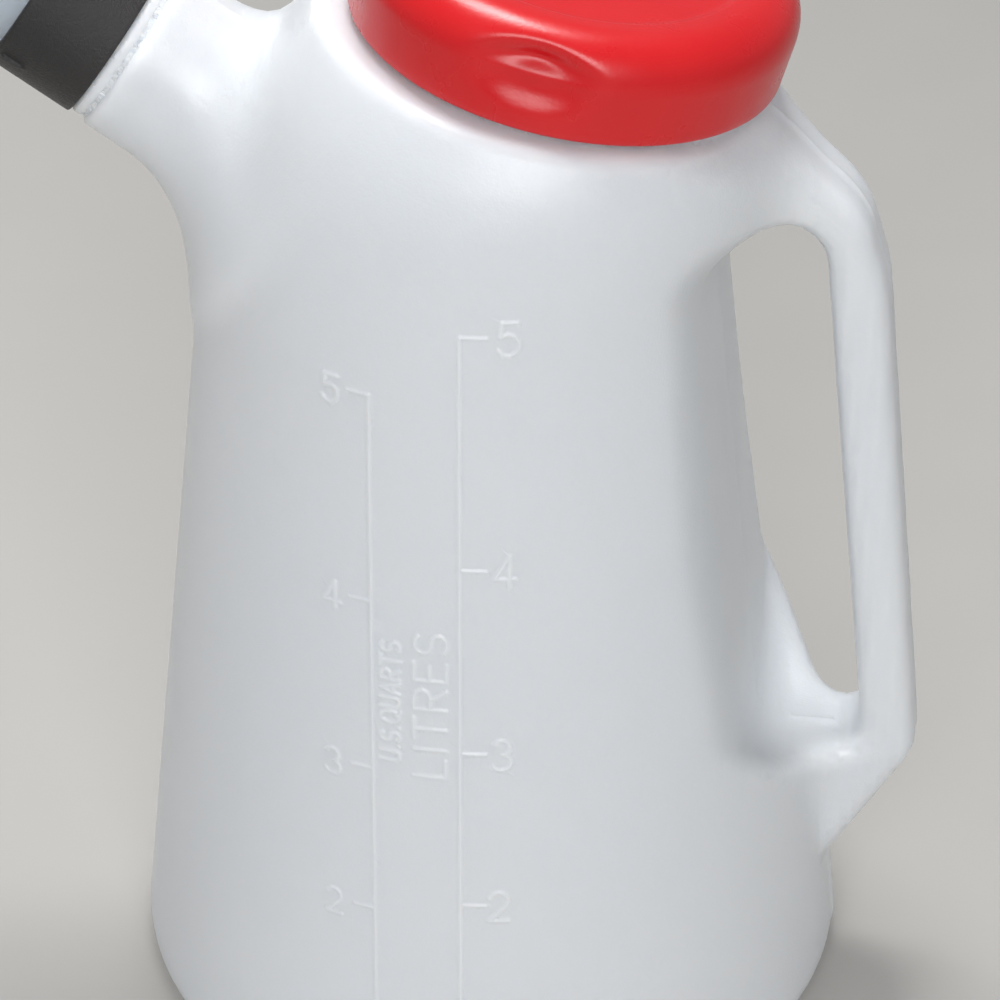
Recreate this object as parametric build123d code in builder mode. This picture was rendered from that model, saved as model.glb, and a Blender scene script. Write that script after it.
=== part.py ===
from build123d import *
import os
from math import cos, radians, sin, tan

os.makedirs("parts", exist_ok=True)

# A 5 litre lidded measuring jug with a hollow handle and a screwed-on flexible spout.
# Millimetres. The origin is the centre of the base, +Z is up, the handle points along +X
# and the spout along -X. The jug is symmetric about the XZ plane.

# --- Driving dimensions ---
wall = 2.0

base_radius = 96.6
base_corner = 13.7
push_up = 3.0
foot_width = 22.0
cone_lean = 6.74
cone_top = 238.0

shoulder_x, shoulder_z, shoulder_radius = 8.5, 262.0, 66.2
fill_x, fill_z, fill_tilt = 18.7, 282.6, 11.0
ledge_radius = 55.5
ledge_shift = 3.0
ledge_drop = 2.0
neck_radius = 49.0
neck_top = 13.0
neck_bore = 46.4
neck_root = 1.0
bore_entry, bore_exit = 8.0, 4.0

spout_x, spout_z, spout_rise = -87.9, 271.3, 34.6
spout_flare = ((-46, 37.0), (-34, 29.0), (-18, 23.4), (0, 22.8))
finish_radius = 19.2
finish_groove_radius = 20.4
finish_ring_radius = 21.6
finish_root = 1.0
groove_width, ring_width, finish_length = 1.2, 2.6, 18.0
spout_bore = 16.6

# The handle and the finger gap in the XZ plane: corners and the radii that round them.
handle_half_width = 13.0
handle_round = 6.0
handle_corners = ((44, 60), (44, 259), (70.5, 258.5), (92.8, 244), (100.2, 221), (116.0, 79), (92, 36))
handle_radii = (1, 1, 34, 26, 40, 14, 9)
gap_top, gap_bottom = 239.0, 80.5
gap_floor = ((54.9, gap_top), (73.3, gap_bottom))
gap_floor_radii = (13.5, 9)
grip = ((101.4, gap_bottom), (83.8, gap_top))
grip_radii = (6.5, 13.5)
recess_half_width = 62.0
recess_reach = 130.0
recess_corner = 1.0

lid_radius = 53.0
lid_flare = 1.1
lid_shoulder = 13.2
lid_top = 25.0
lid_bore = 50.4
lid_bore_depth = 15.4
lid_bore_chamfer = 0.8
lid_seat = 43.5
lid_cavity = (41.0, 21.6)
lid_dish = 1.4
lid_rim_round = 1.2
lid_edge = 11.0
lid_ridge = (12.6, 15.0)
scallop_count = 3
scallop_angle = -94.0
scallop_height = 18.5
scallop_size = (12.0, 28.0, 12.0)
scallop_depth = 3.3

seal_inner = 44.0
seal_clearance = 0.4
seal_gap = 0.05

nut_radius = 22.4
nut_length = 23.2
nut_bore = 20.9
nut_lip = 2.2
nut_edge_round = 0.8
nut_clearance = 0.3
nut_gap = 0.5
flange_clearance = 0.5
nut_ribs = 4
nut_rib_angle = 150.0
nut_rib_size = (1.6, 1.4, 6.0)
nut_rib_inset = 5.0

gasket_thickness = 1.5
flange_thickness = 2.0
spigot_radius = 18.8
spigot_end_radius = 13.2
spigot_straight = 12.0
spigot_length = 40.0
cuff_length = 8.0
hose_radius = 11.0
hose_wave = 1.8
hose_waves = 9
hose_length = 58.0
hose_start_plain, hose_end_plain = 4.0, 3.5
nozzle_radius = 12.6
nozzle_tip_radius = 8.0
nozzle_length = 56.0
nozzle_cuff = 6.0
tip_margin = 4.0
tube_wall = 1.6
cap_length = 18.0
cap_wall = 1.6
cap_round = 0.7
cap_stop_gap = 0.3
slip = 0.05


# --- Frames ---
def tilted(x, z, tilt):
    """A plane at (x, 0, z) whose normal leans by tilt degrees from +Z towards +X."""
    lean = radians(tilt)
    return Plane(origin=(x, 0, z), x_dir=(cos(lean), 0, -sin(lean)), z_dir=(sin(lean), 0, cos(lean)))


def section(plane):
    """The XZ plane moved to a tilted plane's origin and turned so that its y runs along the normal."""
    return Plane(origin=plane.origin, x_dir=plane.x_dir, z_dir=-plane.y_dir)


shoulder_plane = tilted(shoulder_x, shoulder_z, fill_tilt / 2)
fill_plane = tilted(fill_x, fill_z, fill_tilt)
spout_plane = tilted(spout_x, spout_z, spout_rise - 90)
spout_mouth = groove_width + ring_width + finish_length
nut_start = groove_width + ring_width + nut_gap
flange_start = spout_mouth + gasket_thickness
hose_start = flange_start + spigot_length
hose_end = hose_start + hose_length
nozzle_end = hose_end + nozzle_length


def cone_radius(z):
    """Radius of the jug's cone at height z."""
    return base_radius - tan(radians(cone_lean)) * (z - base_corner)


# --- Jug body ---
def vessel(inset):
    """The jug's vessel and spout neck as one solid, drawn in by inset all round."""
    foot = base_radius - base_corner
    with BuildPart() as form:
        with BuildSketch(Plane.XZ):
            with BuildLine():
                Polyline(
                    (0, push_up + inset),
                    (foot - foot_width, push_up + inset),
                    (foot - foot_width + push_up, inset),
                    (foot, inset),
                )
                RadiusArc((foot, inset), (base_radius - inset, base_corner), inset - base_corner)
                Polyline(
                    (base_radius - inset, base_corner),
                    (cone_radius(cone_top) - inset, cone_top),
                    (0, cone_top),
                    (0, push_up + inset),
                )
            make_face()
        revolve(axis=Axis.Z)
        with BuildSketch(Plane.XY.offset(cone_top)):
            Circle(cone_radius(cone_top) - inset)
        with BuildSketch(shoulder_plane):
            Circle(shoulder_radius - inset)
        with BuildSketch(fill_plane.offset(-ledge_drop - inset)):
            with Locations((-ledge_shift, 0)):
                Circle(ledge_radius - inset)
        loft()
        with BuildSketch(Plane.XZ):
            with BuildLine():
                FilletPolyline(
                    *gap_floor, (recess_reach, gap_bottom), (recess_reach, gap_top),
                    radius=[*gap_floor_radii, recess_corner, recess_corner], close=True,
                )
            make_face()
            offset(amount=inset)
        extrude(amount=recess_half_width, both=True, mode=Mode.SUBTRACT)
        for step, radius in spout_flare:
            with BuildSketch(spout_plane.offset(step if step else -inset)):
                Circle(radius - inset)
        loft()
    return form.part


def handle(inset):
    """The handle as a rounded strap around the finger gap, drawn in by inset all round."""
    with BuildPart() as form:
        with BuildSketch(Plane.XZ):
            with BuildLine():
                FilletPolyline(*handle_corners, radius=list(handle_radii), close=True)
            make_face()
            offset(amount=-inset)
        extrude(amount=handle_half_width - inset, both=True)
        with BuildSketch(Plane.XZ):
            with BuildLine():
                FilletPolyline(*gap_floor, *grip, radius=[*gap_floor_radii, *grip_radii], close=True)
            make_face()
            offset(amount=inset)
        extrude(amount=handle_half_width, both=True, mode=Mode.SUBTRACT)
        sides = form.faces().filter_by(Axis.Y).sort_by(Axis.Y)
        fillet(sides[0].edges() + sides[-1].edges(), handle_round - inset)
    return form.part


with BuildPart() as hollow:
    add(vessel(wall))
    add(handle(wall))

with BuildPart() as jug_body:
    add(vessel(0))
    add(handle(0))
    add(hollow.part, mode=Mode.SUBTRACT)
    for plane, bore in ((fill_plane, neck_bore), (spout_plane, spout_bore)):
        with BuildSketch(plane.offset(-bore_entry)):
            Circle(bore)
        extrude(amount=bore_entry + bore_exit, mode=Mode.SUBTRACT)
    # The filling neck, and the spout neck's groove, ring and threaded length.
    for plane, outline in (
        (fill_plane, [
            (neck_bore, neck_top),
            (neck_radius, neck_top),
            (neck_radius, -ledge_drop - neck_root),
        ]),
        (spout_plane, [
            (spout_bore, spout_mouth),
            (finish_radius, spout_mouth),
            (finish_radius, groove_width + ring_width),
            (finish_ring_radius, groove_width + ring_width),
            (finish_ring_radius, groove_width),
            (finish_groove_radius, groove_width),
            (finish_groove_radius, -finish_root),
        ]),
    ):
        with BuildSketch(section(plane)):
            with BuildLine():
                Polyline(*outline, (outline[0][0], outline[-1][1]), close=True)
            make_face()
        revolve(axis=Axis(plane.origin, plane.z_dir))
jug_body.part.label = "jug_body"
export_step(jug_body.part, "parts/jug_body.step")


# --- Lid and its seal ---
scallop = scale(Sphere(1), by=scallop_size)

with BuildPart() as lid:
    with BuildSketch(section(fill_plane)):
        with BuildLine():
            Polyline(
                (lid_bore, lid_bore_chamfer),
                (lid_bore, lid_bore_depth),
                (lid_seat, lid_bore_depth),
                lid_cavity,
                (0, lid_cavity[1]),
                (0, lid_top - lid_dish),
                (lid_radius - lid_ridge[1], lid_top - lid_dish),
                (lid_radius - lid_ridge[0], lid_top),
                (lid_radius + lid_flare - lid_edge, lid_top),
            )
            Spline(
                (lid_radius + lid_flare - lid_edge, lid_top),
                (lid_radius + lid_flare, lid_shoulder),
                tangents=((1, -0.1), (-0.05, -1)),
            )
            Polyline(
                (lid_radius + lid_flare, lid_shoulder),
                (lid_radius, lid_rim_round),
                (lid_radius - lid_rim_round, 0),
                (lid_bore + lid_bore_chamfer, 0),
                (lid_bore, lid_bore_chamfer),
            )
        make_face()
    revolve(axis=Axis(fill_plane.origin, fill_plane.z_dir))
    scallop_reach = lid_radius + lid_flare + scallop_size[0] - scallop_depth
    with Locations(fill_plane.offset(scallop_height)):
        with PolarLocations(scallop_reach, scallop_count, scallop_angle):
            add(scallop, mode=Mode.SUBTRACT)
lid.part.label = "lid"
export_step(lid.part, "parts/lid.step")

with BuildPart() as lid_seal:
    with BuildSketch(fill_plane.offset(neck_top)):
        Circle(lid_bore - seal_clearance)
        Circle(seal_inner, mode=Mode.SUBTRACT)
    extrude(amount=lid_bore_depth - neck_top - seal_gap)
lid_seal.part.label = "lid_seal"
export_step(lid_seal.part, "parts/lid_seal.step")


# --- Spout nut and gasket ---
with BuildPart() as spout_nut:
    with BuildSketch(spout_plane.offset(nut_start)):
        Circle(nut_radius)
        Circle(nut_bore, mode=Mode.SUBTRACT)
    extrude(amount=nut_length - nut_lip)
    with BuildSketch(spout_plane.offset(nut_start + nut_length - nut_lip)):
        Circle(nut_radius)
        Circle(spigot_radius + nut_clearance, mode=Mode.SUBTRACT)
    extrude(amount=nut_lip)
    rims = spout_nut.edges().filter_by(GeomType.CIRCLE).group_by(SortBy.RADIUS)[-1]
    fillet(rims, nut_edge_round)
    with Locations(spout_plane.offset(nut_start + nut_length - nut_rib_inset)):
        with PolarLocations(nut_radius, nut_ribs, nut_rib_angle):
            Box(*nut_rib_size)
spout_nut.part.label = "spout_nut"
export_step(spout_nut.part, "parts/spout_nut.step")

with BuildPart() as spout_gasket:
    with BuildSketch(spout_plane.offset(spout_mouth)):
        Circle(finish_radius)
        Circle(spout_bore, mode=Mode.SUBTRACT)
    extrude(amount=gasket_thickness)
spout_gasket.part.label = "spout_gasket"
export_step(spout_gasket.part, "parts/spout_gasket.step")


# --- Flexible spout ---
def tube_of(profile):
    """A round tube about the spout axis from (radius, distance) points, open at both ends."""
    with BuildPart() as tube:
        with BuildSketch(section(spout_plane)):
            with BuildLine():
                bore = [(r - tube_wall, s) for r, s in reversed(profile)]
                Polyline(*profile, *bore, close=True)
            make_face()
        revolve(axis=Axis(spout_plane.origin, spout_plane.z_dir))
    return tube.part


with BuildPart() as spout_base:
    add(tube_of([
        (spigot_radius, flange_start),
        (spigot_radius, flange_start + spigot_straight),
        (spigot_end_radius, hose_start - cuff_length),
        (spigot_end_radius, hose_start),
    ]))
    with BuildSketch(spout_plane.offset(flange_start)):
        Circle(nut_bore - flange_clearance)
        Circle(spigot_radius - tube_wall / 2, mode=Mode.SUBTRACT)
    extrude(amount=flange_thickness)
spout_base.part.label = "spout_base"
export_step(spout_base.part, "parts/spout_base.step")

with BuildPart() as flex_hose:
    first_wave = hose_start + hose_start_plain
    pitch = (hose_end - hose_end_plain - first_wave) / hose_waves
    waves = [(spigot_end_radius, hose_start), (spigot_end_radius, first_wave)]
    for i in range(hose_waves):
        waves.append((hose_radius - hose_wave / 2, first_wave + (i + 0.25) * pitch))
        waves.append((hose_radius + hose_wave, first_wave + (i + 0.75) * pitch))
    waves += [(nozzle_radius, hose_end - hose_end_plain), (nozzle_radius, hose_end)]
    add(tube_of(waves))
flex_hose.part.label = "flex_hose"
export_step(flex_hose.part, "parts/flex_hose.step")

with BuildPart() as spout_nozzle:
    add(tube_of([
        (nozzle_radius, hose_end),
        (nozzle_radius, hose_end + nozzle_cuff),
        (nozzle_tip_radius, nozzle_end - cap_length - tip_margin),
        (nozzle_tip_radius, nozzle_end),
    ]))
spout_nozzle.part.label = "spout_nozzle"
export_step(spout_nozzle.part, "parts/spout_nozzle.step")

with BuildPart() as spout_cap:
    cap_plane = spout_plane.offset(nozzle_end - cap_length + cap_wall + cap_stop_gap)
    with BuildSketch(cap_plane):
        Circle(nozzle_tip_radius + cap_wall)
    extrude(amount=cap_length)
    with BuildSketch(cap_plane):
        Circle(nozzle_tip_radius + slip)
    extrude(amount=cap_length - cap_wall, mode=Mode.SUBTRACT)
    fillet(spout_cap.edges().filter_by(GeomType.CIRCLE).group_by(SortBy.RADIUS)[-1], cap_round)
spout_cap.part.label = "spout_cap"
export_step(spout_cap.part, "parts/spout_cap.step")
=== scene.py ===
import math

import bmesh
import bpy
import numpy as np
import openvdb
from mathutils import Matrix, Vector


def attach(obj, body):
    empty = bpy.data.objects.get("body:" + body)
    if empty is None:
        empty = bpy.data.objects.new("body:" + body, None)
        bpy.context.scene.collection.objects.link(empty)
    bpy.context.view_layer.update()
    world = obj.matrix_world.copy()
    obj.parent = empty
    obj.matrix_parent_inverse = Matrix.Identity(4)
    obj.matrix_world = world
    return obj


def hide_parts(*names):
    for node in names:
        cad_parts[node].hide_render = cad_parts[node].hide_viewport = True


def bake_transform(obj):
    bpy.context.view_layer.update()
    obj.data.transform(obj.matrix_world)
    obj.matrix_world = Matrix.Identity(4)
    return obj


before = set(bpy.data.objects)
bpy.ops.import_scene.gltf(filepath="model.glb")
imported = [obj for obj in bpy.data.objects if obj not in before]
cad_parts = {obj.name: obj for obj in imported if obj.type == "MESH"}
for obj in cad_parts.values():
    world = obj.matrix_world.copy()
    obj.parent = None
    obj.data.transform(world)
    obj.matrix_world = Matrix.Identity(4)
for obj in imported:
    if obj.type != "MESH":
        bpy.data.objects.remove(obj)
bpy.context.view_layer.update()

# The shapes below are worked out in millimetres and made into metres when a mesh is stored.
MM = 0.001

# ---------------------------------------------------------------- dimensions (mm)
WALL = 2.0
BASE_RADIUS, BASE_CORNER = 96.6, 13.7
CONE_SLOPE = 0.11816
BEND_Z, BEND_X = 222.0, 330.5            # where the shoulder starts to lean, and the line it leans about
SHOULDER_SHIFT, SHOULDER_EASE = 0.191, 10.0
SHOULDER_END, SHOULDER_PULL, SHOULDER_POWER = 62.5, 9.0, 4.2
FILL = np.array([18.7, 0.0, 282.6])
FILL_TILT = math.radians(11.0)
LEDGE_DROP, LEDGE_ROUND = 2.0, 2.4
CROWN, CROWN_SLOPE, CROWN_ROUND = (69.0, 0.0, 264.0), (0.57, 0.82), 6.0   # the fall towards the handle
NECK_RADIUS, NECK_TOP, NECK_BORE = 49.0, 13.0, 46.4
SPOUT = np.array([-87.9, 0.0, 271.3])
SPOUT_RISE = math.radians(34.6)
SPOUT_NECK = 22.8
GROOVE_RADIUS, RING_RADIUS, FINISH_RADIUS = 20.4, 21.6, 19.2
GROOVE_END, RING_END, SPOUT_MOUTH = 1.2, 3.8, 21.8
SPOUT_BORE = 16.6
NECK_FLARE, NECK_PLAIN, NECK_FLARE_LENGTH = 0.0185, 13.0, 45.0   # how the spout neck widens into the wall
BASE_HOLLOW, BASE_HOLLOW_RADIUS, BASE_HOLLOW_FLARE = 3.0, 62.4, 0.7

# Threads as pitch, starts, first and last place along the axis, ridge height and half width.
FILL_THREAD = (6.0, 2, 2.5, 10.5, 0.9, 1.5)
SPOUT_THREAD = (5.0, 1, 6.5, 19.0, 0.7, 1.3)
LID_THREAD = (6.0, 2, 2.5, 11.0, 0.6, 1.2)
NUT_THREAD = (5.0, 1, 6.5, 19.0, 0.6, 1.2)

FILL_AXIS = np.array([math.sin(FILL_TILT), 0.0, math.cos(FILL_TILT)])
FILL_SIDE = np.array([math.cos(FILL_TILT), 0.0, -math.sin(FILL_TILT)])
SPOUT_AXIS = np.array([-math.cos(SPOUT_RISE), 0.0, math.sin(SPOUT_RISE)])
SPOUT_SIDE = np.array([math.sin(SPOUT_RISE), 0.0, math.cos(SPOUT_RISE)])
ACROSS = np.array([0.0, 1.0, 0.0])


# ---------------------------------------------------------------- distance fields
def soft_min(a, b, k):
    """The union of two solids, blended where they meet over a width of about k."""
    h = np.maximum(k - np.abs(a - b), 0.0) / k
    return np.minimum(a, b) - h * h * h * k / 6.0


def soft_max(a, b, k):
    return -soft_min(-a, -b, k)


def round_max(a, b, r):
    """The meet of two solids with an edge round of radius r."""
    return np.minimum(np.maximum(a, b), -r) + np.hypot(np.maximum(a + r, 0.0), np.maximum(b + r, 0.0))


def ramp(x, low, high):
    """A smooth step from 0 at low to 1 at high."""
    t = np.clip((x - low) / (high - low), 0.0, 1.0)
    return t * t * (3.0 - 2.0 * t)


def rounded(points, radii, step=1.2):
    """A closed outline with its corners rounded, as points along it."""
    points = [np.array(p, float) for p in points]
    made = []
    for i, (p, r) in enumerate(zip(points, radii)):
        a = points[i - 1] - p
        b = points[(i + 1) % len(points)] - p
        a /= np.linalg.norm(a)
        b /= np.linalg.norm(b)
        half = math.acos(float(np.clip(a @ b, -1, 1))) / 2
        reach = r / math.tan(half)
        centre = p + (a + b) / np.linalg.norm(a + b) * r / math.sin(half)
        start = p + a * reach - centre
        end = p + b * reach - centre
        turn = math.atan2(start[0] * end[1] - start[1] * end[0], float(start @ end))
        count = max(3, int(abs(turn) * r / step) + 1)
        for t in np.linspace(0.0, turn, count):
            c, s = math.cos(t), math.sin(t)
            made.append(centre + np.array([c * start[0] - s * start[1], s * start[0] + c * start[1]]))
    return np.array(made)


def along(x, y, z, origin, axis, side):
    """Distance along an axis, sideways offset in the XZ plane, and radius about the axis."""
    dx, dz = x - origin[0], z - origin[2]
    s = dx * axis[0] + dz * axis[2]
    u = dx * side[0] + dz * side[2]
    return s, u, np.hypot(u, y)


def outline_distance(x, z, outline):
    """Signed distance to a closed outline in the XZ plane, negative inside."""
    best = np.full(x.shape, 1e9)
    inside = np.zeros(x.shape, bool)
    for (ax, az), (bx, bz) in zip(outline, np.roll(outline, -1, axis=0)):
        ex, ez = bx - ax, bz - az
        t = np.clip(((x - ax) * ex + (z - az) * ez) / (ex * ex + ez * ez), 0.0, 1.0)
        best = np.minimum(best, (x - ax - t * ex) ** 2 + (z - az - t * ez) ** 2)
        crosses = (az > z) != (bz > z)
        inside ^= crosses & (x < ax + ex * (z - az) / (ez if ez else 1e-12))
    best = np.sqrt(best)
    return np.where(inside, -best, best)


HANDLE_OUTSIDE = rounded(
    [(44, 60), (44, 259), (70.5, 258.5), (92.8, 244.3), (100.2, 221), (116.0, 79), (92, 36)],
    [1, 1, 34, 26, 40, 14, 9],
)
OPENING = rounded(
    [(54.9, 239.5), (73.4, 79.5), (101.6, 79.5), (83.6, 239.0)],
    [14.0, 9.0, 6.5, 13.5],
)
HANDLE_HALF_WIDTH, HANDLE_ROUND, OPENING_ROUND = 13.0, 6.3, 6.0
HANDLE_BLEND, HANDLE_BLEND_MORE, SPOUT_BLEND = 3.0, 23.0, 9.0
# At a distance y from the plane of symmetry the opening's ends lift, and it shifts inwards, by y * y
# divided by these. Its bottom lifts by the last at most.
TOP_LIFT, BOTTOM_LIFT, INWARD_SHIFT, MOST_LIFT = 220.0, 100.0, 970.0, 40.0
SEAM_HEIGHT, SEAM_HEEL, SEAM_WIDTH = 0.30, 0.35, 0.42


def vessel(x, y, z):
    """The tapered wall, the leaning shoulder, the ledge under the lid and the hollowed base."""
    turn = np.arctan2(np.maximum(z - BEND_Z, 0.0), BEND_X - x)
    s = np.where(z > BEND_Z, BEND_X * turn, z - BEND_Z)
    up = np.maximum(s, 0.0)
    shift = SHOULDER_SHIFT * (up - SHOULDER_EASE * (1.0 - np.exp(-up / SHOULDER_EASE)))
    across = np.where(z > BEND_Z, BEND_X - np.hypot(BEND_X - x, z - BEND_Z) - shift, x)
    share = np.minimum(up / SHOULDER_END, 1.3)
    wide = BASE_RADIUS - CONE_SLOPE * (BEND_Z - BASE_CORNER + s) - SHOULDER_PULL * share ** SHOULDER_POWER
    lean = CONE_SLOPE + SHOULDER_PULL * SHOULDER_POWER / SHOULDER_END * share ** (SHOULDER_POWER - 1.0)
    side = (np.hypot(across, y) - wide) / np.sqrt(1.0 + lean * lean)
    top = (x - FILL[0]) * FILL_AXIS[0] + (z - FILL[2]) * FILL_AXIS[2] + LEDGE_DROP
    form = round_max(side, top, LEDGE_ROUND)
    form = round_max(form, (x - CROWN[0]) * CROWN_SLOPE[0] + (z - CROWN[2]) * CROWN_SLOPE[1], CROWN_ROUND)
    form = round_max(form, -z, BASE_CORNER)
    flare = (np.hypot(x, y) - BASE_HOLLOW_RADIUS + BASE_HOLLOW_FLARE * z) * 0.82
    return soft_max(form, -np.maximum(z - BASE_HOLLOW, flare), 1.5)


def opening(x, y, z):
    """The finger gap and the recess beside it, moulded from both sides as one, negative inside.

    Away from the plane of symmetry its ends lift and it moves towards the jug's axis.
    """
    d = np.full(x.shape, 30.0)
    near = (x > 38.0) & (z > 55.0) & (z < 265.0)
    xn, yn, zn = x[near], y[near], z[near]
    rise_top = yn * yn / TOP_LIFT * ramp(zn, 200.0, 238.0)
    rise_bottom = np.minimum(yn * yn / BOTTOM_LIFT, MOST_LIFT) * (1.0 - ramp(zn, 85.0, 175.0))
    d[near] = outline_distance(xn + yn * yn / INWARD_SHIFT, zn - (rise_top + rise_bottom), OPENING)
    return d


def spout_neck(x, y, z):
    """Place along and about the spout's axis, and the distance to the neck that flares into the wall."""
    s, _, q = along(x, y, z, SPOUT, SPOUT_AXIS, SPOUT_SIDE)
    back = np.clip(-s - NECK_PLAIN, 0.0, NECK_FLARE_LENGTH)
    side = (q - SPOUT_NECK - NECK_FLARE * back * back) / np.sqrt(1.0 + (2.0 * NECK_FLARE * back) ** 2)
    return s, q, round_max(round_max(side, s, 1.4), -s - 50.0, 4.0)


def handle(x, y, z):
    """The handle as a solid slab, before the opening is cut through it."""
    d = np.full(x.shape, 60.0)
    near = (x > 30.0) & (np.abs(y) < 45.0) & (z > 20.0) & (z < 290.0)
    flat = outline_distance(x[near], z[near], HANDLE_OUTSIDE)
    d[near] = round_max(flat, np.abs(y[near]) - HANDLE_HALF_WIDTH, HANDLE_ROUND)
    return d


def form(x, y, z):
    """The blown shape: vessel, handle and spout neck flowing into each other, with the finger opening."""
    blend = HANDLE_BLEND + HANDLE_BLEND_MORE * ramp(z, 42.0, 90.0)
    body = soft_min(vessel(x, y, z), handle(x, y, z), blend)
    body = round_max(body, -opening(x, y, z), OPENING_ROUND)
    return soft_min(body, spout_neck(x, y, z)[2], SPOUT_BLEND)


def thread(angle, s, pitch, starts, low, high, height, width):
    """A rounded thread ridge that fades in and out at its ends, as extra radius."""
    phase = (s - low) / pitch - starts * angle / (2.0 * math.pi)
    off = np.abs(phase - np.round(phase)) * pitch
    ridge = height * (1.0 - ramp(off, 0.3 * width, width))
    return ridge * ramp(s, low - 0.5, low + 1.5) * (1.0 - ramp(s, high - 1.5, high + 0.5))


def fill_neck(x, y, z):
    """Place along and about the filling neck's axis, and the distance to the threaded neck."""
    s, u, q = along(x, y, z, FILL, FILL_AXIS, FILL_SIDE)
    ridge = thread(np.arctan2(y, u), s, *FILL_THREAD)
    return s, q, round_max(round_max(q - NECK_RADIUS + 0.25 - ridge, s - NECK_TOP, 0.8), -s - 10.0, 1.0)


def seam(x, y, z):
    """The mould's parting line, a fine raised ridge in the plane of symmetry."""
    height = SEAM_HEIGHT + SEAM_HEEL * np.exp(-((z - 22.0) / 12.0) ** 2) * (x > 0)
    return height * np.exp(-(y / SEAM_WIDTH) ** 2) * ramp(z, 0.5, 5.0)


def outside(x, y, z):
    """The jug's outer surface, with its seam, scales, both necks and the ring behind the nut."""
    body = form(x, y, z)
    body = body - seam(x, y, z) - embossed(x, y, z)
    body = soft_min(body, fill_neck(x, y, z)[2], 1.0)
    s, side, q = along(x, y, z, SPOUT, SPOUT_AXIS, SPOUT_SIDE)
    groove = np.maximum(q - GROOVE_RADIUS, np.abs(s) - 6.0)
    ring_ends = np.abs(s - (GROOVE_END + RING_END) / 2) - (RING_END - GROOVE_END) / 2
    ring = round_max(q - RING_RADIUS, ring_ends, 0.6)
    ridge = thread(np.arctan2(y, side), s, *SPOUT_THREAD)
    finish_ends = np.abs(s - SPOUT_MOUTH / 2 + 2.0) - SPOUT_MOUTH / 2 - 2.0
    finish = round_max(q - FINISH_RADIUS - ridge, finish_ends, 0.6)
    return np.minimum(np.minimum(body, groove), np.minimum(ring, finish))


def inside(x, y, z):
    """The jug's hollow, with both mouths running out past their rims."""
    hollow = form(x, y, z) + WALL
    s, q, _ = fill_neck(x, y, z)
    fill_bore = np.maximum(q - NECK_BORE, np.abs(s - 9.0) - 21.0)
    s, q, _ = spout_neck(x, y, z)
    spout_bore = np.maximum(q - SPOUT_BORE, np.abs(s - 8.0) - 20.0)
    return soft_min(hollow, np.minimum(fill_bore, spout_bore), 1.0)


# ---------------------------------------------------------------- moulded scales
def arc(cx, cy, rx, ry, start, end, count=9):
    turns = np.radians(np.linspace(start, end, count))
    return [(cx + rx * math.cos(t), cy + ry * math.sin(t)) for t in turns]


# Plain generic lettering: each character's width, and its strokes in a cell one unit high.
GLYPHS = {
    "1": (0.30, [[(0.0, 0.78), (0.18, 1.0), (0.18, 0.0)]]),
    "2": (0.60, [arc(0.28, 0.73, 0.28, 0.27, 165, -35) + [(0.0, 0.0), (0.58, 0.0)]]),
    "3": (0.58, [arc(0.27, 0.75, 0.25, 0.25, 150, -80), arc(0.27, 0.26, 0.29, 0.26, 80, -150)]),
    "4": (0.62, [[(0.44, 0.0), (0.44, 1.0), (0.0, 0.28), (0.62, 0.28)]]),
    "5": (0.58, [[(0.54, 1.0), (0.10, 1.0), (0.06, 0.56)] + arc(0.27, 0.33, 0.30, 0.33, 125, -150)]),
    "L": (0.50, [[(0.0, 1.0), (0.0, 0.0), (0.50, 0.0)]]),
    "I": (0.06, [[(0.03, 0.0), (0.03, 1.0)]]),
    "T": (0.60, [[(0.0, 1.0), (0.60, 1.0)], [(0.30, 1.0), (0.30, 0.0)]]),
    "R": (0.56, [[(0.0, 0.0), (0.0, 1.0), (0.30, 1.0)] + arc(0.30, 0.75, 0.25, 0.25, 90, -90) + [(0.0, 0.5)],
                 [(0.28, 0.5), (0.56, 0.0)]]),
    "E": (0.50, [[(0.50, 1.0), (0.0, 1.0), (0.0, 0.0), (0.50, 0.0)], [(0.0, 0.52), (0.42, 0.52)]]),
    "S": (0.56, [arc(0.28, 0.74, 0.26, 0.26, 35, 250) + arc(0.28, 0.25, 0.27, 0.25, 80, -145)]),
    "U": (0.56, [[(0.0, 1.0)] + arc(0.28, 0.28, 0.28, 0.28, 180, 360) + [(0.56, 1.0)]]),
    "Q": (0.68, [arc(0.34, 0.5, 0.34, 0.5, 0, 360, 17), [(0.44, 0.20), (0.68, -0.04)]]),
    "A": (0.62, [[(0.0, 0.0), (0.31, 1.0), (0.62, 0.0)], [(0.12, 0.34), (0.50, 0.34)]]),
    ".": (0.08, [[(0.04, 0.0), (0.04, 0.03)]]),
}


def word(text, size, gap):
    """Strokes of a word from (0, 0) along +u, and its length."""
    strokes, u = [], 0.0
    for letter in text:
        width, lines = GLYPHS[letter]
        strokes += [[(u + a * size, b * size) for a, b in line] for line in lines]
        u += (width + gap) * size
    return strokes, u - gap * size


LITRE_MARKS = {1: 40.3, 2: 80.2, 3: 125.0, 4: 176.4, 5: 237.8}
QUART_MARKS = {1: 38.3, 2: 75.7, 3: 117.4, 4: 164.7, 5: 220.0}
SCALE_FOOT = 20.0
# Each scale: its marks, the x of its line's top and of its foot, the mark length, and the figures' height
# and middle.
SCALES = (
    (LITRE_MARKS, 3.0, 5.4, 6.6, 8.6, 14.6),
    (QUART_MARKS, -18.8, -16.9, -5.6, 7.2, -28.6),
)
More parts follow.
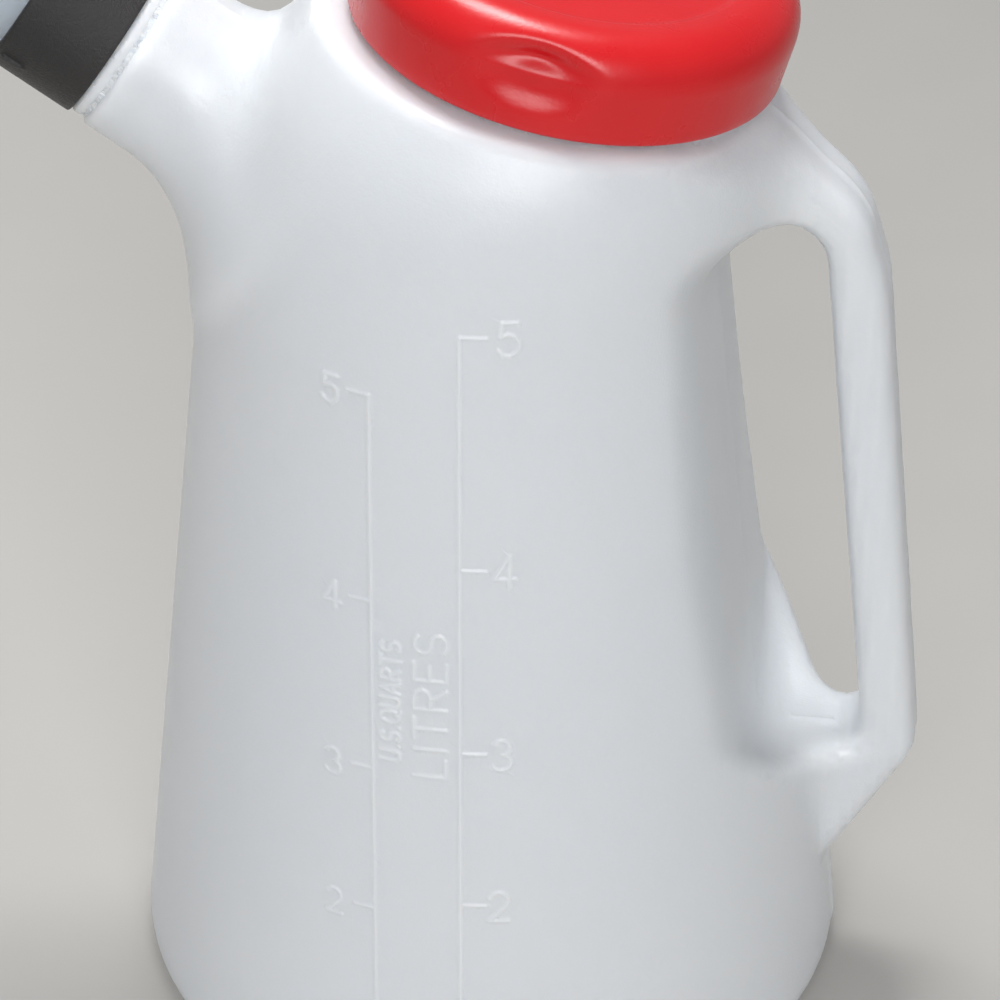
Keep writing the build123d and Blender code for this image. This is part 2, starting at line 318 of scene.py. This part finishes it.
# Each word that runs up the wall: its height, the gap between letters, its x, and where it starts and ends.
WORDS = (
    ("LITRES", 8.2, 0.28, 0.8, 117.6, 158.0),
    ("U.S.QUARTS", 4.9, 0.26, -11.0, 121.0, 154.5),
)
FIGURE_GAP, FIGURE_DROP = 0.2, 4.6
LINE_HALF_WIDTH, LETTER_HALF_WIDTH, SCALE_RELIEF = 0.30, 0.36, 0.42


def scale_strokes():
    """Every stroke of both scales as segments (x0, z0, x1, z1, half width) on the front wall."""
    fine, broad = [], []
    for marks, top_x, foot_x, tick, size, middle in SCALES:
        top = marks[5]
        fine.append([(top_x, top), (foot_x, SCALE_FOOT)])
        for number, z in marks.items():
            x = top_x + (foot_x - top_x) * (top - z) / (top - SCALE_FOOT)
            fine.append([(x, z), (x + tick, z)])
            strokes, length = word(str(number), size, FIGURE_GAP)
            left, low = middle - length / 2, z - FIGURE_DROP
            broad += [[(left + u, low + v) for u, v in line] for line in strokes]
    for text, size, gap, x, low, high in WORDS:
        strokes, length = word(text, size, gap)
        stretch = (high - low) / length
        broad += [[(x - v, low + u * stretch) for u, v in line] for line in strokes]
    segments = []
    for lines, half in ((fine, LINE_HALF_WIDTH), (broad, LETTER_HALF_WIDTH)):
        for line in lines:
            segments += [(*a, *b, half) for a, b in zip(line, line[1:]) if math.dist(a, b) > 0.01]
    return np.array(segments)


STROKES = scale_strokes()
STROKE_REACH = 4.0


def near_scales(x, y, z):
    """Which places are on the part of the front wall that carries the scales."""
    return np.nonzero((y < 0.0) & (np.abs(x + 7.0) < 30.0) & (z > 16.0) & (z < 250.0))[0]


def stroke_distance(x, z):
    """Distance to the nearest stroke's edge, negative inside a stroke."""
    best = np.full(x.shape, 9.0)
    for x0, z0, x1, z1, half in STROKES:
        level = (x > min(x0, x1) - STROKE_REACH) & (x < max(x0, x1) + STROKE_REACH)
        upright = (z > min(z0, z1) - STROKE_REACH) & (z < max(z0, z1) + STROKE_REACH)
        near = np.nonzero(level & upright)[0]
        ex, ez = x1 - x0, z1 - z0
        t = np.clip(((x[near] - x0) * ex + (z[near] - z0) * ez) / (ex * ex + ez * ez), 0.0, 1.0)
        d = np.hypot(x[near] - x0 - t * ex, z[near] - z0 - t * ez) - half
        best[near] = np.minimum(best[near], d)
    return best


def embossed(x, y, z):
    """Height of the moulded scales above the wall."""
    made = np.zeros(x.shape)
    near = near_scales(x, y, z)
    if len(near):
        made[near] = SCALE_RELIEF * (1.0 - ramp(stroke_distance(x[near], z[near]), -0.25, 0.45))
    return made


# ---------------------------------------------------------------- meshing
def gradient(field, p, h=0.02):
    x, y, z = p.T
    return np.stack([
        field(x + h, y, z) - field(x - h, y, z),
        field(x, y + h, z) - field(x, y - h, z),
        field(x, y, z + h) - field(x, y, z - h),
    ], axis=1) / (2.0 * h)


def settle(field, p, rounds=3):
    """Moves points onto the surface where the field is zero, by at most 1 mm a round."""
    for _ in range(rounds):
        g = gradient(field, p)
        size = np.maximum((g * g).sum(1), 0.2)
        step = (field(*p.T) / size)[:, None] * g
        length = np.linalg.norm(step, axis=1)[:, None]
        p = p - step * np.minimum(1.0, 1.0 / np.maximum(length, 1e-9))
    return p


def refine(p, tris, target, field, rounds):
    """Splits every edge longer than the target length at its middle, and settles the new points."""
    for _ in range(rounds):
        edges = np.sort(np.stack([tris, np.roll(tris, -1, axis=1)], axis=2).reshape(-1, 2), axis=1)
        keys = edges[:, 0] * np.int64(len(p)) + edges[:, 1]
        unique, back = np.unique(keys, return_inverse=True)
        a, b = unique // len(p), unique % len(p)
        middle = (p[a] + p[b]) / 2
        split = np.linalg.norm(p[a] - p[b], axis=1) > target(middle)
        if not split.any():
            break
        number = np.full(len(unique), -1)
        number[split] = len(p) + np.arange(split.sum())
        fresh = settle(field, middle[split], 2)
        cut = number[back].reshape(-1, 3)
        count = (cut >= 0).sum(1)
        made = [tris[count == 0]]
        for k in range(3):
            order = [(k + i) % 3 for i in range(3)]
            t, c = tris[:, order], cut[:, order]
            one = (count == 1) & (c[:, 0] >= 0)
            made += [
                np.stack([t[one, 0], c[one, 0], t[one, 2]], axis=1),
                np.stack([c[one, 0], t[one, 1], t[one, 2]], axis=1),
            ]
            two = (count == 2) & (c[:, 2] < 0)
            made += [
                np.stack([c[two, 0], t[two, 1], c[two, 1]], axis=1),
                np.stack([t[two, 0], c[two, 0], c[two, 1]], axis=1),
                np.stack([t[two, 0], c[two, 1], t[two, 2]], axis=1),
            ]
        t, c = tris[count == 3], cut[count == 3]
        made += [
            np.stack([t[:, 0], c[:, 0], c[:, 2]], axis=1),
            np.stack([c[:, 0], t[:, 1], c[:, 1]], axis=1),
            np.stack([c[:, 2], c[:, 1], t[:, 2]], axis=1),
            c,
        ]
        p = np.vstack([p, fresh])
        tris = np.vstack(made)
    return p, tris


GRID_PARTS = 24    # the grid is worked out in parts, to save memory


def contour(field, low, high, pitch):
    """The field's zero surface as triangles, on a grid of that pitch."""
    axes = [np.arange(a, b + pitch, pitch) for a, b in zip(low, high)]
    grid = np.stack(np.meshgrid(*axes, indexing="ij"), axis=-1).reshape(-1, 3)
    values = np.concatenate([field(*part.T) for part in np.array_split(grid, GRID_PARTS)])
    volume = openvdb.FloatGrid(3.0 * pitch)
    volume.copyFromArray(values.reshape([len(a) for a in axes]).astype(np.float32))
    points, quads = volume.convertToQuads(0.0)
    p = points.astype(float) * pitch + np.array(low, float)
    quads = quads.astype(np.int64)
    p = settle(field, p)
    tris = np.vstack([quads[:, [0, 1, 2]], quads[:, [0, 2, 3]]])
    return p, tris


def outward(p, tris):
    """The triangles, flipped if they face inwards."""
    a, b, c = p[tris[:, 0]], p[tris[:, 1]], p[tris[:, 2]]
    volume = np.einsum("ij,ij->i", a, np.cross(b, c)).sum()
    return tris if volume > 0 else tris[:, ::-1]


def store(name, p, faces):
    """A new object in the scene from points in millimetres."""
    mesh = bpy.data.meshes.new(name)
    mesh.from_pydata((p * MM).tolist(), [], faces.tolist())
    mesh.validate()
    mesh.update()
    made = bpy.data.objects.new(name, mesh)
    bpy.context.scene.collection.objects.link(made)
    return made


def shade(obj, degrees):
    """Smooth shading, with edges sharper than the angle left sharp."""
    mesh = obj.data
    mesh.polygons.foreach_set("use_smooth", np.ones(len(mesh.polygons), bool))
    mesh.set_sharp_from_angle(angle=math.radians(degrees))
    mesh.update()


def apply_modifiers(obj):
    bpy.context.view_layer.update()
    graph = bpy.context.evaluated_depsgraph_get()
    mesh = bpy.data.meshes.new_from_object(obj.evaluated_get(graph))
    obj.modifiers.clear()
    old = obj.data
    obj.data = mesh
    mesh.name = obj.name
    bpy.data.meshes.remove(old)


# ---------------------------------------------------------------- turned pieces
def lathe(name, outline, origin, axis, side, segments, bulge=None, step=3.0):
    """A closed outline of (radius, distance) points turned about an axis, as one closed mesh."""
    dense = []
    for a, b in zip(outline, np.roll(outline, -1, axis=0)):
        count = max(1, int(np.linalg.norm(b - a) / step))
        dense += [a + (b - a) * i / count for i in range(count)]
    r, s = np.array(dense).T
    angle = np.arange(segments) * 2.0 * math.pi / segments
    grid_r = np.repeat(r[None], segments, axis=0)
    grid_s = np.repeat(s[None], segments, axis=0)
    grid_a = np.repeat(angle[:, None], len(r), axis=1)
    if bulge is not None:
        grid_r = np.maximum(grid_r + bulge(grid_a, grid_r, grid_s), 0.0)
    u, v = grid_r * np.cos(grid_a), grid_r * np.sin(grid_a)
    p = origin + u[..., None] * side + v[..., None] * ACROSS + grid_s[..., None] * axis
    n = len(r)
    i, j = np.meshgrid(np.arange(segments), np.arange(n), indexing="ij")
    i2, j2 = (i + 1) % segments, (j + 1) % n
    quads = np.stack([i * n + j, i2 * n + j, i2 * n + j2, i * n + j2], axis=-1).reshape(-1, 4)
    made = store(name, p.reshape(-1, 3), quads)
    build = bmesh.new()
    build.from_mesh(made.data)
    bmesh.ops.remove_doubles(build, verts=build.verts, dist=1e-7)
    bmesh.ops.dissolve_degenerate(build, edges=build.edges, dist=1e-8)
    bmesh.ops.recalc_face_normals(build, faces=build.faces)
    build.to_mesh(made.data)
    build.free()
    return made


def finish_piece(obj, body, node, material, degrees):
    """Gives a piece its material and shading, and puts it on its body in place of its CAD node."""
    obj.data.materials.clear()
    obj.data.materials.append(material)
    shade(obj, degrees)
    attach(obj, body)
    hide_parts(node)


# ---------------------------------------------------------------- materials
class Nodes:
    """A small hand for building one material's nodes."""

    def __init__(self, name):
        self.material = bpy.data.materials.new(name)
        self.material.use_nodes = True
        self.tree = self.material.node_tree
        self.shader = self.tree.nodes["Principled BSDF"]
        coordinates = self.tree.nodes.new("ShaderNodeTexCoord")
        self.where = coordinates.outputs["Object"]

    def link(self, source, target):
        self.tree.links.new(source, target)

    def noise(self, scale, detail=3.0, roughness=0.5):
        node = self.tree.nodes.new("ShaderNodeTexNoise")
        node.inputs["Scale"].default_value = scale
        node.inputs["Detail"].default_value = detail
        node.inputs["Roughness"].default_value = roughness
        self.link(self.where, node.inputs["Vector"])
        return node.outputs["Fac"]

    def colour(self, value, first, second, low=0.3, high=0.7):
        """Base colour that goes from the first to the second as the value goes from low to high."""
        node = self.tree.nodes.new("ShaderNodeValToRGB")
        for element, place, shade_of in zip(node.color_ramp.elements, (low, high), (first, second)):
            element.position = place
            element.color = (*shade_of, 1.0)
        self.link(value, node.inputs["Fac"])
        self.link(node.outputs["Color"], self.shader.inputs["Base Color"])

    def roughness(self, value, least, most):
        """Roughness that goes from least to most as the value goes from 0.3 to 0.7."""
        node = self.tree.nodes.new("ShaderNodeMapRange")
        for key, number in zip(("From Min", "From Max", "To Min", "To Max"), (0.3, 0.7, least, most)):
            node.inputs[key].default_value = number
        self.link(value, node.inputs["Value"])
        self.link(node.outputs["Result"], self.shader.inputs["Roughness"])

    def bump(self, layers):
        """Height layers, each (value, distance in metres, strength), one on another."""
        last = None
        for value, distance, strength in layers:
            node = self.tree.nodes.new("ShaderNodeBump")
            node.inputs["Distance"].default_value = distance
            node.inputs["Strength"].default_value = strength
            self.link(value, node.inputs["Height"])
            if last is not None:
                self.link(last, node.inputs["Normal"])
            last = node.outputs["Normal"]
        self.link(last, self.shader.inputs["Normal"])

    def set(self, **values):
        for key, value in values.items():
            self.shader.inputs[key.replace("_", " ")].default_value = value


def polyethylene():
    """Natural blow-moulded polyethylene: milky, faintly blue, satin, with a fine sand-blast grain."""
    n = Nodes("natural_polyethylene")
    n.colour(n.noise(9.0), (0.80, 0.83, 0.86), (0.86, 0.875, 0.88))
    n.roughness(n.noise(55.0, 4.0), 0.30, 0.42)
    n.bump([
        (n.noise(30.0, 2.0), 0.0010, 0.06),
        (n.noise(420.0, 3.0, 0.6), 0.0004, 0.18),
        (n.noise(1500.0, 2.0, 0.6), 0.0002, 0.25),
    ])
    n.set(IOR=1.51, Subsurface_Weight=1.0, Subsurface_Scale=0.006,
          Subsurface_Radius=(1.0, 0.92, 0.84), Specular_IOR_Level=0.5)
    return n.material


def red_polyethylene():
    """Injection-moulded red polyethylene, softly glossy."""
    n = Nodes("red_polyethylene")
    n.colour(n.noise(14.0), (0.60, 0.006, 0.010), (0.68, 0.012, 0.014))
    n.roughness(n.noise(70.0, 4.0), 0.24, 0.36)
    n.bump([
        (n.noise(45.0, 2.0), 0.0008, 0.10),
        (n.noise(900.0, 3.0, 0.6), 0.0003, 0.14),
    ])
    n.set(IOR=1.5, Subsurface_Weight=0.25, Subsurface_Scale=0.002, Subsurface_Radius=(1.0, 0.15, 0.1))
    return n.material


def black_polypropylene():
    """Black polypropylene with a fine spark texture."""
    n = Nodes("black_polypropylene")
    grain = n.noise(1400.0, 4.0, 0.7)
    n.colour(n.noise(20.0), (0.012, 0.012, 0.013), (0.024, 0.022, 0.021))
    n.roughness(grain, 0.38, 0.58)
    n.bump([(grain, 0.0006, 0.55), (n.noise(500.0, 2.0), 0.0005, 0.2)])
    n.set(IOR=1.5)
    return n.material


def clear_vinyl():
    """Flexible vinyl, bluish and translucent."""
    n = Nodes("clear_vinyl")
    n.colour(n.noise(16.0, 2.0), (0.74, 0.82, 0.90), (0.80, 0.86, 0.92))
    n.roughness(n.noise(90.0), 0.14, 0.26)
    n.bump([(n.noise(60.0, 2.0), 0.0008, 0.15), (n.noise(700.0, 2.0), 0.0002, 0.10)])
    n.set(IOR=1.46, Transmission_Weight=0.62)
    return n.material


def seal_foam():
    """Closed-cell foam."""
    n = Nodes("seal_foam")
    cells = n.noise(900.0, 4.0, 0.7)
    n.colour(cells, (0.66, 0.65, 0.61), (0.82, 0.81, 0.77), 0.35, 0.65)
    n.roughness(cells, 0.7, 0.9)
    n.bump([(cells, 0.0006, 0.6)])
    return n.material


def gasket_rubber():
    """Black nitrile rubber."""
    n = Nodes("gasket_rubber")
    grain = n.noise(700.0, 3.0, 0.6)
    n.colour(grain, (0.020, 0.020, 0.021), (0.035, 0.034, 0.033))
    n.roughness(grain, 0.5, 0.68)
    n.bump([(grain, 0.0004, 0.35)])
    return n.material


def bench():
    """The pale floor."""
    n = Nodes("floor_paint")
    n.colour(n.noise(3.0), (0.46, 0.445, 0.42), (0.49, 0.475, 0.45))
    n.roughness(n.noise(25.0), 0.5, 0.62)
    n.bump([(n.noise(300.0, 2.0), 0.0005, 0.08)])
    return n.material


# ---------------------------------------------------------------- jug body
GRID_LOW, GRID_HIGH = (-124.0, -101.0, -4.0), (118.0, 101.0, 308.0)
OUTSIDE_PITCH, INSIDE_PITCH = 3.0, 4.0
PLAIN_EDGE, NECK_EDGE, SPOUT_EDGE, SEAM_EDGE, SCALE_EDGE, STROKE_EDGE = 4.6, 1.9, 1.3, 0.85, 1.4, 0.55
INSIDE_EDGE, BORE_EDGE = 6.5, 2.4


def outside_size(m):
    """The edge length wanted at each place on the jug's outside."""
    x, y, z = m.T
    size = np.full(len(m), PLAIN_EDGE)
    s, q, _ = fill_neck(x, y, z)
    size[(s > -5.0) & (s < 22.0) & (q < 63.0)] = NECK_EDGE
    s, q, _ = spout_neck(x, y, z)
    size[(s > -3.0) & (s < 24.0) & (q < 25.0)] = SPOUT_EDGE
    size[(np.abs(y) < 1.0) & ((x > 40.0) | (x < -60.0))] = SEAM_EDGE
    near = near_scales(x, y, z)
    d = stroke_distance(x[near], z[near])
    wanted = np.where(d < 0.6, STROKE_EDGE, np.where(d < 1.8, SCALE_EDGE, PLAIN_EDGE))
    size[near] = np.minimum(size[near], wanted)
    return size


def inside_size(m):
    """The edge length wanted at each place on the jug's inside."""
    x, y, z = m.T
    size = np.full(len(m), INSIDE_EDGE)
    for s, q, _ in (fill_neck(x, y, z), spout_neck(x, y, z)):
        size[(s > -4.0) & (q < 60.0)] = BORE_EDGE
    return size


def make_jug():
    """The jug's outer shape with the hollow cut out of it."""
    p, tris = contour(outside, GRID_LOW, GRID_HIGH, OUTSIDE_PITCH)
    p, tris = refine(p, tris, outside_size, outside, 4)
    jug = store("jug", settle(outside, p, 2), outward(p, tris))
    p, tris = contour(inside, GRID_LOW, GRID_HIGH, INSIDE_PITCH)
    p, tris = refine(p, tris, inside_size, inside, 2)
    core = store("core", settle(inside, p, 2), outward(p, tris))
    cut = jug.modifiers.new("hollow", "BOOLEAN")
    cut.operation = "DIFFERENCE"
    cut.solver = "MANIFOLD"
    cut.object = core
    apply_modifiers(jug)
    bpy.data.objects.remove(core)
    return jug


jug = make_jug()
finish_piece(jug, "jug", "jug_body", polyethylene(), 50.0)

# ---------------------------------------------------------------- lid and seal
LID_RADIUS, LID_FLARE, LID_TOP, LID_DISH = 53.0, 2.1, 25.0, 1.4
LID_BORE, LID_DEPTH, LID_CEILING = 50.4, 15.4, 21.6
SCALLOPS, SCALLOP_ANGLE = 3, math.radians(94.0)
SCALLOP_DEPTH, SCALLOP_EXTRA = 3.0, 2.4
SCALLOP_HALF_WIDTH, SCALLOP_LOW, SCALLOP_HIGH = 19.0, 4.5, 23.5


def lid_bulge(angle, r, s):
    """The thread inside the lid, and the scallops in its skirt for the fingers."""
    inner = (np.abs(r - LID_BORE) < 0.6) & (s < LID_DEPTH - 1.0)
    ridge = thread(angle - math.pi / 2, s, *LID_THREAD)
    change = np.where(inner, -ridge, 0.0)
    middle = (SCALLOP_LOW + SCALLOP_HIGH) / 2
    reach = (SCALLOP_HIGH - SCALLOP_LOW) / 2
    outer = (r > LID_BORE + 1.0) | (s > LID_DEPTH + 1.0) & (r > 44.0) | (s > LID_TOP - 2.5) & (r > 40.5)
    dent = SCALLOP_DEPTH + SCALLOP_EXTRA * ramp(s, LID_DEPTH - 1.5, LID_DEPTH + 3.0)
    for k in range(SCALLOPS):
        place = k * 2.0 * math.pi / SCALLOPS
        off = (angle + SCALLOP_ANGLE - place + math.pi) % (2.0 * math.pi) - math.pi
        across = off * LID_RADIUS / SCALLOP_HALF_WIDTH
        up = (s - middle) / reach
        depth = np.clip(1.0 - across ** 2, 0.0, 1.0)
        share = np.sqrt(np.maximum(across ** 2 + up ** 2, 0.0))
        bowl = (1.0 - ramp(share, 0.25, 1.02)) * (0.6 + 0.4 * depth)
        change = np.where(outer, change - dent * bowl, change)
    return change


lid_outline = rounded(
    [
        (0.0, LID_TOP - LID_DISH),
        (0.0, LID_CEILING),
        (41.0, LID_CEILING),
        (43.5, LID_DEPTH),
        (LID_BORE, LID_DEPTH),
        (LID_BORE, 0.0),
        (LID_RADIUS, 0.0),
        (LID_RADIUS + LID_FLARE, LID_TOP + 0.4),
        (LID_RADIUS - 13.0, LID_TOP),
        (LID_RADIUS - 15.2, LID_TOP - LID_DISH),
    ],
    [0.001, 0.001, 1.5, 1.0, 0.7, 0.6, 1.3, 11.0, 1.6, 2.0],
    0.5,
)
lid = lathe("lid_shell", lid_outline, FILL, FILL_AXIS, FILL_SIDE, 300, lid_bulge, 1.3)
finish_piece(lid, "lid", "lid", red_polyethylene(), 40.0)

SEAL_INNER, SEAL_OUTER, SEAL_BOTTOM, SEAL_TOP = 44.0, 50.0, 13.05, 15.3
seal_outline = rounded(
    [(SEAL_INNER, SEAL_BOTTOM), (SEAL_OUTER, SEAL_BOTTOM), (SEAL_OUTER, SEAL_TOP), (SEAL_INNER, SEAL_TOP)],
    [0.4, 0.6, 0.6, 0.4],
    0.3,
)
seal = lathe("lid_liner", seal_outline, FILL, FILL_AXIS, FILL_SIDE, 160)
finish_piece(seal, "seal", "lid_seal", seal_foam(), 60.0)

# ---------------------------------------------------------------- spout nut, gasket and spout
NUT_START, NUT_LENGTH, NUT_RADIUS, NUT_BORE, NUT_LIP = 4.3, 23.2, 22.4, 20.9, 2.2
NUT_END = NUT_START + NUT_LENGTH
NUT_MOUTH, NUT_RIB_ANGLE, NUT_RIB_HEIGHT = 19.2, math.radians(150.0), 0.8
FLANGE_START = SPOUT_MOUTH + 1.5
FLANGE_RADIUS, FLANGE_BORE, FLANGE_THICKNESS = 20.4, 17.2, 2.0
SPIGOT_RADIUS, CUFF_RADIUS = 18.8, 13.2
HOSE_START, HOSE_END = FLANGE_START + 40.0, FLANGE_START + 98.0
HOSE_FIRST, HOSE_LAST, HOSE_WAVES, HOSE_WAVE_DEPTH = HOSE_START + 4.0, HOSE_END - 3.5, 9, 3.1
NOZZLE_RADIUS, NOZZLE_TIP_RADIUS, NOZZLE_END = 12.6, 8.0, HOSE_END + 56.0
CAP_LENGTH, CAP_WALL, CAP_RADIUS, CAP_BORE = 18.0, 1.6, 9.6, 8.05
JOINT_GAP, GASKET_GAP = 0.05, 0.02
TUBE_WALL = 1.6


def nut_bulge(angle, r, s):
    """The thread inside the nut, and the four short ribs on its outside."""
    inner = (np.abs(r - NUT_BORE) < 0.5) & (s < NUT_END - NUT_LIP - 1.0)
    ridge = thread(angle - math.pi, s, *NUT_THREAD)
    off = (angle - NUT_RIB_ANGLE + math.pi / 4) % (math.pi / 2) - math.pi / 4
    rib = NUT_RIB_HEIGHT * (1.0 - ramp(np.abs(off) * NUT_RADIUS, 0.35, 0.85))
    rib = rib * ramp(s, NUT_END - 8.2, NUT_END - 7.6) * (1.0 - ramp(s, NUT_END - 2.2, NUT_END - 1.7))
    return np.where(inner, -ridge, np.where(r > NUT_RADIUS - 0.4, rib, 0.0))


nut_outline = rounded(
    [
        (NUT_BORE, NUT_START),
        (NUT_RADIUS, NUT_START),
        (NUT_RADIUS, NUT_END),
        (NUT_MOUTH, NUT_END),
        (NUT_MOUTH, NUT_END - NUT_LIP),
        (NUT_BORE, NUT_END - NUT_LIP),
    ],
    [0.5, 0.5, 0.9, 0.5, 0.3, 0.3],
    0.25,
)
nut = lathe("collar", nut_outline, SPOUT, SPOUT_AXIS, SPOUT_SIDE, 320, nut_bulge, 0.7)
finish_piece(nut, "nut", "spout_nut", black_polypropylene(), 40.0)

gasket_outline = rounded(
    [
        (SPOUT_BORE, SPOUT_MOUTH + GASKET_GAP),
        (FINISH_RADIUS, SPOUT_MOUTH + GASKET_GAP),
        (FINISH_RADIUS, FLANGE_START - GASKET_GAP),
        (SPOUT_BORE, FLANGE_START - GASKET_GAP),
    ],
    [0.4, 0.4, 0.4, 0.4],
    0.2,
)
gasket = lathe("washer", gasket_outline, SPOUT, SPOUT_AXIS, SPOUT_SIDE, 120)
finish_piece(gasket, "gasket", "spout_gasket", gasket_rubber(), 60.0)


def inner_line(outside_line):
    """A tube's inside, a wall in from its outside line of (radius, distance) points, running back."""
    return [(r - TUBE_WALL, s) for r, s in reversed(outside_line)]


vinyl = clear_vinyl()
base_line = [
    (SPIGOT_RADIUS, FLANGE_START + 12.0),
    (CUFF_RADIUS, HOSE_START - 8.0),
    (CUFF_RADIUS, HOSE_START - JOINT_GAP),
]
base_outline = rounded(
    [
        (FLANGE_BORE, FLANGE_START),
        (FLANGE_RADIUS, FLANGE_START),
        (FLANGE_RADIUS, FLANGE_START + FLANGE_THICKNESS),
        (SPIGOT_RADIUS, FLANGE_START + FLANGE_THICKNESS),
        *base_line,
        *inner_line(base_line),
    ],
    [0.3, 0.4, 0.4, 0.5, 9.0, 9.0, 0.4, 0.4, 9.0, 9.0],
    0.35,
)
spout = lathe("spout_socket", base_outline, SPOUT, SPOUT_AXIS, SPOUT_SIDE, 128)
finish_piece(spout, "spout", "spout_base", vinyl, 50.0)


def hose_line():
    """The hose's outside: a plain cuff, rounded waves that fade in and out, and a plain end."""
    line = [(CUFF_RADIUS, HOSE_START), (CUFF_RADIUS, HOSE_FIRST)]
    for t in np.linspace(0.0, 1.0, HOSE_WAVES * 10 + 1)[1:-1]:
        swing = 0.5 - 0.5 * math.cos(2.0 * math.pi * HOSE_WAVES * t)
        fade = min(1.0, t * HOSE_WAVES, (1.0 - t) * HOSE_WAVES)
        radius = CUFF_RADIUS - HOSE_WAVE_DEPTH * (1.0 - swing) * fade
        line.append((radius, HOSE_FIRST + t * (HOSE_LAST - HOSE_FIRST)))
    return line + [(NOZZLE_RADIUS, HOSE_LAST), (NOZZLE_RADIUS, HOSE_END)]


hose_out = hose_line()
hose_outline = np.array(hose_out + inner_line(hose_out))
hose = lathe("hose", hose_outline, SPOUT, SPOUT_AXIS, SPOUT_SIDE, 112)
hose.data.materials.append(vinyl)
shade(hose, 60.0)
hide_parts("flex_hose")
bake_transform(hose)

nozzle_line = [
    (NOZZLE_RADIUS, HOSE_END + JOINT_GAP),
    (NOZZLE_RADIUS, HOSE_END + 6.0),
    (NOZZLE_TIP_RADIUS, NOZZLE_END - 22.0),
    (NOZZLE_TIP_RADIUS, NOZZLE_END),
]
nozzle_outline = rounded(
    nozzle_line + inner_line(nozzle_line),
    [0.4, 5.0, 6.0, 0.5, 0.5, 6.0, 5.0, 0.4],
    0.35,
)
nozzle = lathe("nozzle", nozzle_outline, SPOUT, SPOUT_AXIS, SPOUT_SIDE, 128)
finish_piece(nozzle, "nozzle", "spout_nozzle", vinyl, 50.0)

CAP_START = NOZZLE_END - CAP_LENGTH + CAP_WALL + 0.3
CAP_END, CAP_CEILING = CAP_START + CAP_LENGTH, CAP_START + CAP_LENGTH - CAP_WALL
cap_outline = rounded(
    [
        (0.0, CAP_CEILING),
        (CAP_BORE, CAP_CEILING),
        (CAP_BORE, CAP_START),
        (CAP_RADIUS, CAP_START),
        (CAP_RADIUS, CAP_END),
        (0.0, CAP_END),
    ],
    [0.001, 0.4, 0.3, 0.5, 1.3, 0.001],
    0.25,
)


def cap_bulge(angle, r, s):
    """Fine grip ribs round the cap's skirt."""
    ribs = 0.22 * (0.5 + 0.5 * np.cos(24.0 * angle))
    ends = ramp(s, CAP_START + 2.0, CAP_START + 4.0) * (1.0 - ramp(s, CAP_START + 14.0, CAP_START + 16.0))
    return np.where(r > CAP_RADIUS - 0.3, -ribs * ends, 0.0)


cap = lathe("dust_cap", cap_outline, SPOUT, SPOUT_AXIS, SPOUT_SIDE, 192, cap_bulge, 1.0)
finish_piece(cap, "cap", "spout_cap", lid.data.materials[0], 40.0)

# ---------------------------------------------------------------- stage, light and camera
bpy.ops.mesh.primitive_plane_add(size=8.0, location=(0.0, 0.0, 0.0))
floor = bpy.context.object
floor.name = "floor"
floor.data.materials.append(bench())


def softbox(name, at, aim, size, watts, colour):
    data = bpy.data.lights.new(name, "AREA")
    data.shape = "RECTANGLE"
    data.size, data.size_y = size
    data.energy = watts
    data.color = colour
    made = bpy.data.objects.new(name, data)
    bpy.context.scene.collection.objects.link(made)
    made.location = at
    made.rotation_euler = (Vector(aim) - Vector(at)).to_track_quat("-Z", "Y").to_euler()


softbox("ceiling", (-0.10, 0.25, 1.40), (0.0, 0.0, 0.25), (0.50, 0.30), 11.0, (0.98, 0.99, 1.0))
softbox("front_key", (0.25, -1.8, 1.3), (0.0, 0.0, 0.15), (1.3, 1.0), 28.0, (0.985, 0.99, 1.0))
softbox("back_fill", (-1.0, 1.3, 0.8), (0.0, 0.0, 0.15), (0.9, 0.6), 5.0, (1.0, 0.98, 0.95))
world = bpy.data.worlds.new("studio")
bpy.context.scene.world = world
world.use_nodes = True
background = world.node_tree.nodes["Background"]
background.inputs["Color"].default_value = (0.94, 0.96, 1.0, 1.0)
background.inputs["Strength"].default_value = 0.34

# The camera's bearings in degrees, what it looks at and from how far in millimetres, and its lens.
CAMERA_AZIMUTH, CAMERA_PITCH, CAMERA_ROLL = 8.021, 34.975, -0.151
CAMERA_TARGET, CAMERA_DISTANCE, CAMERA_LENS = (2.602, 0.0, 143.432), 918.14, 125.69
azimuth, pitch = math.radians(CAMERA_AZIMUTH), math.radians(CAMERA_PITCH)
back = Vector((math.sin(azimuth) * math.cos(pitch), -math.cos(azimuth) * math.cos(pitch), math.sin(pitch)))
camera_data = bpy.data.cameras.new("camera")
camera_data.lens = CAMERA_LENS
camera_data.sensor_width = 36.0
camera_data.clip_start, camera_data.clip_end = 0.05, 20.0
camera = bpy.data.objects.new("camera", camera_data)
bpy.context.scene.collection.objects.link(camera)
camera.location = (Vector(CAMERA_TARGET) + back * CAMERA_DISTANCE) * MM
turn = (-back).to_track_quat("-Z", "Y") @ Matrix.Rotation(math.radians(CAMERA_ROLL), 3, "Z").to_quaternion()
camera.rotation_mode = "QUATERNION"
camera.rotation_quaternion = turn
bpy.context.scene.camera = camera
bpy.context.scene.view_settings.view_transform = "Standard"
